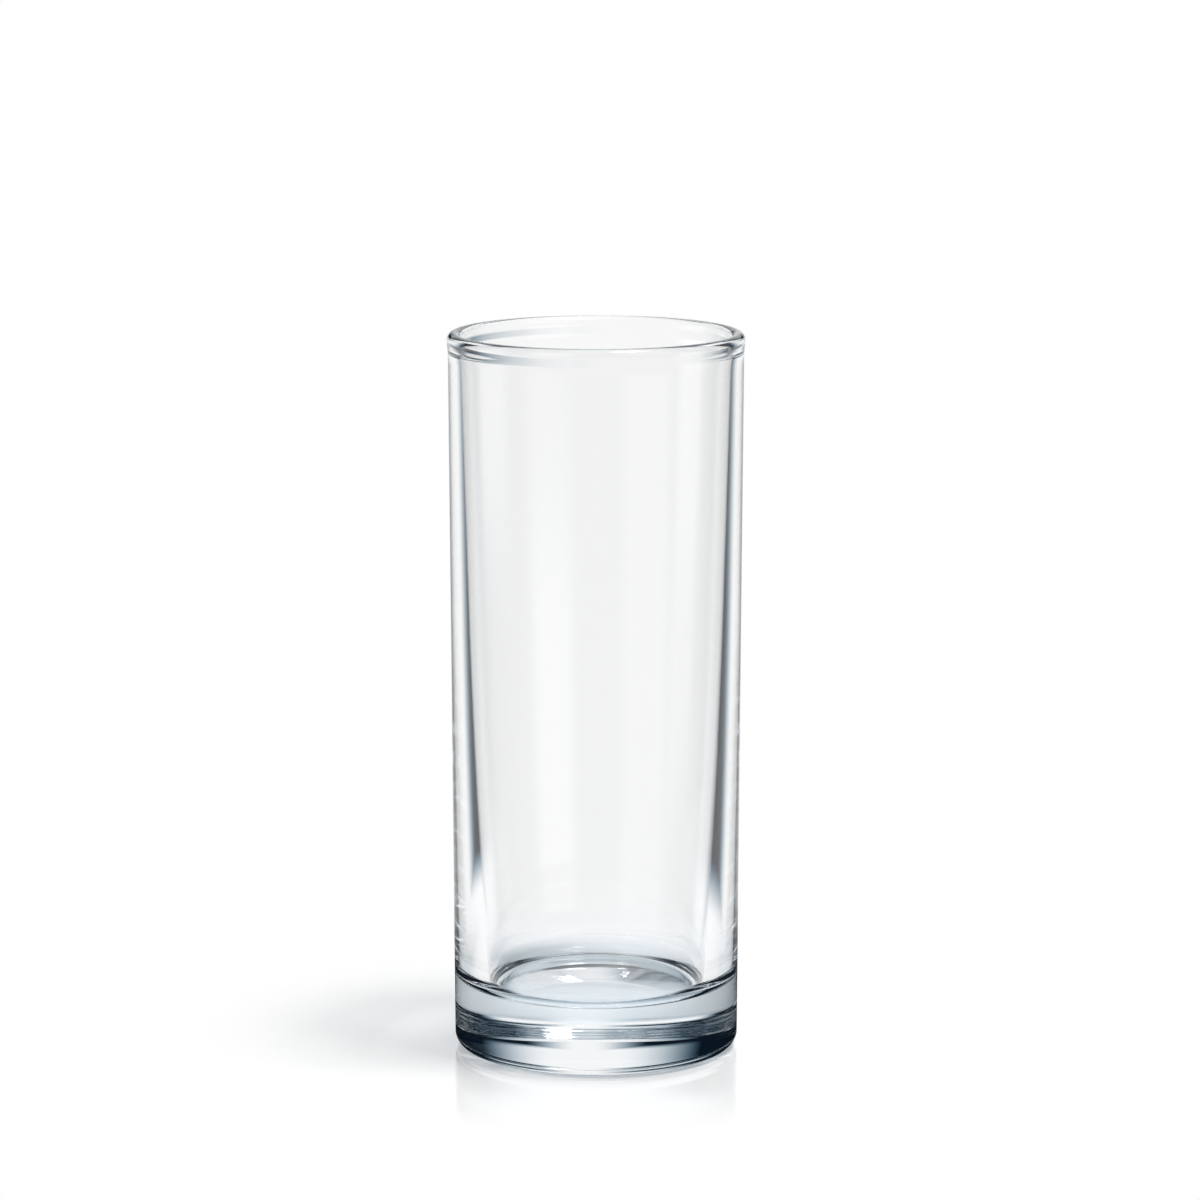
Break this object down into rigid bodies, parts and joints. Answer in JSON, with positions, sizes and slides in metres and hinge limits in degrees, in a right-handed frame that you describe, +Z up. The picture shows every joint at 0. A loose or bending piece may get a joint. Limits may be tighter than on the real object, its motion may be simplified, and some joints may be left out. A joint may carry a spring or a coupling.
{
  "type": "juice glass",
  "caption": "Tall straight-sided clear drinking glass with a rounded rim, a wall that thickens downwards and a heavy solid base, for juice and other cold drinks.",
  "frame": {"origin": "centre of the ring on which the glass stands, on the table", "axes": "+Z up along the axis of the glass, towards its mouth; the glass is round, so X and Y are free, and -Y faces the camera"},
  "size_m": [0.0604, 0.0604, 0.148],
  "materials": {
    "clear_glass": "polished clear glass with a faint blue-green tint in its thick parts"
  },
  "bodies": {
    "root": {"rim_bead": "clear_glass", "side_wall": "clear_glass", "heavy_base": "clear_glass"}
  },
  "joints": []
}
